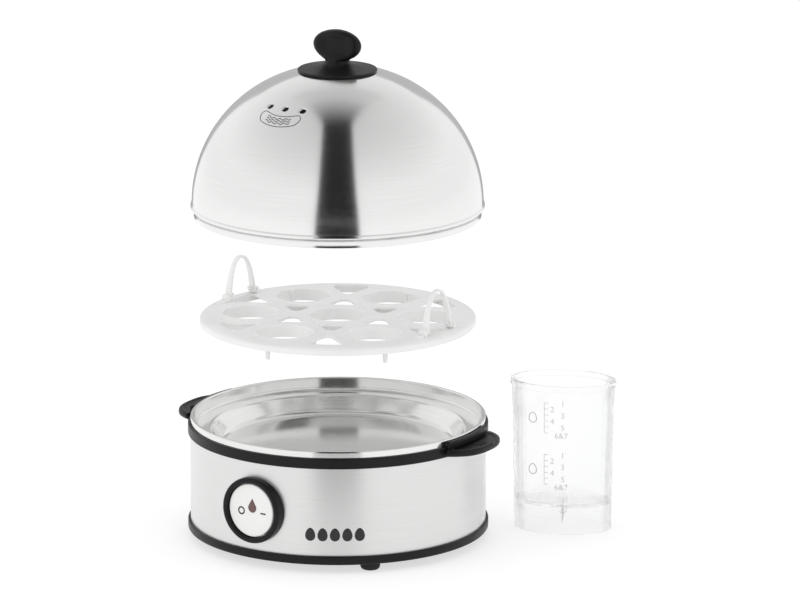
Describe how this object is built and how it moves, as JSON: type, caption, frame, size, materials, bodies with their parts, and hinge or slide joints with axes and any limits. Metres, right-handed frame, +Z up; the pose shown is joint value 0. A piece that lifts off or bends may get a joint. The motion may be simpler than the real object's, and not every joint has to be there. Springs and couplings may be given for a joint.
{
  "type": "egg cooker",
  "caption": "Round electric egg cooker: heated pan in a steel base, lift-out egg tray with folding bails, domed steel lid with a knob, and an oval measuring cup with a pricker.",
  "frame": {"origin": "on the base's axis, at the level of the surface that its feet stand on", "axes": "+Z up; -Y is the front, where the switch and the cup's scales face; +X is to the right as seen from the front. The tray and the lid are drawn lifted off, straight above their seats"},
  "size_m": [0.2795, 0.1967, 0.3264],
  "materials": {
    "black_plastic": "satin moulded",
    "black_rubber": "matt",
    "lid_steel": "brushed round the axis",
    "shell_steel": "brushed along the rim",
    "pan_steel": "polished and lightly brushed",
    "cast_aluminium": "as cast",
    "plated_steel": "zinc plated",
    "white_ceramic": "fired ceramic, matt",
    "switch_white": "satin",
    "smoked_lens": "smoked, clear",
    "brass": "plain",
    "lamp_glass": "clear",
    "red_insulation": "silicone rubber",
    "tray_white": "satin",
    "cup_clear": "clear plastic"
  },
  "bodies": {
    "base": {"bottom_cover": "black_plastic", "feet": "black_rubber", "body_shell": "shell_steel", "top_ring": "black_plastic", "heating_pan": "pan_steel", "heater_plate": "cast_aluminium", "heating_element": "plated_steel", "element_seals": "white_ceramic", "thermostat": "black_plastic", "thermal_fuse": "white_ceramic", "pan_studs": "plated_steel", "heat_shield": "plated_steel", "shield_clips": "plated_steel", "housing_screws": "plated_steel", "switch_bezel": "black_plastic", "switch_body": "black_plastic", "switch_terminals": "brass", "pilot_lamp": "lamp_glass", "buzzer": "black_plastic", "terminal_block": "white_ceramic", "wiring": "red_insulation", "cord_gland": "black_rubber"},
    "rocker": {"switch_rocker": "switch_white", "lamp_lens": "smoked_lens"},
    "tray": {"egg_tray": "tray_white"},
    "lid": {"lid_dome": "lid_steel", "lid_knob": "black_plastic", "knob_insert": "brass", "knob_screw": "plated_steel", "knob_washer": "plated_steel"},
    "cup": {"measuring_cup": "cup_clear", "pricker_pin": "plated_steel"},
    "bail_right_arm": {"bail_right": "tray_white"},
    "bail_left_arm": {"bail_left": "tray_white"}
  },
  "joints": [
    {"name": "tray_lift", "type": "slide", "parent": "base", "child": "tray", "axis": [0, 0, 1], "range_m": [-0.0677, 0]},
    {"name": "lid_lift", "type": "slide", "parent": "tray", "child": "lid", "axis": [0, 0, 1], "range_m": [-0.0667, 0]},
    {"name": "bail_right_fold", "type": "hinge", "parent": "tray", "child": "bail_right_arm", "pos_m": [0.06229, -0.04526, 0.1459], "axis": [0.5878, 0.809, 0], "range_deg": [-85, 0]},
    {"name": "bail_left_fold", "type": "hinge", "parent": "tray", "child": "bail_left_arm", "pos_m": [-0.06229, 0.04526, 0.1459], "axis": [-0.5878, -0.809, 0], "range_deg": [-85, 0]},
    {"name": "switch_rock", "type": "hinge", "parent": "base", "child": "rocker", "pos_m": [-0.05183, -0.0783, 0.0373], "axis": [0, 0, 1], "range_deg": [0, 5]},
    {"name": "cup_lift", "type": "slide", "parent": "base", "child": "cup", "axis": [0, 0, 1], "range_m": [0, 0.12]}
  ]
}
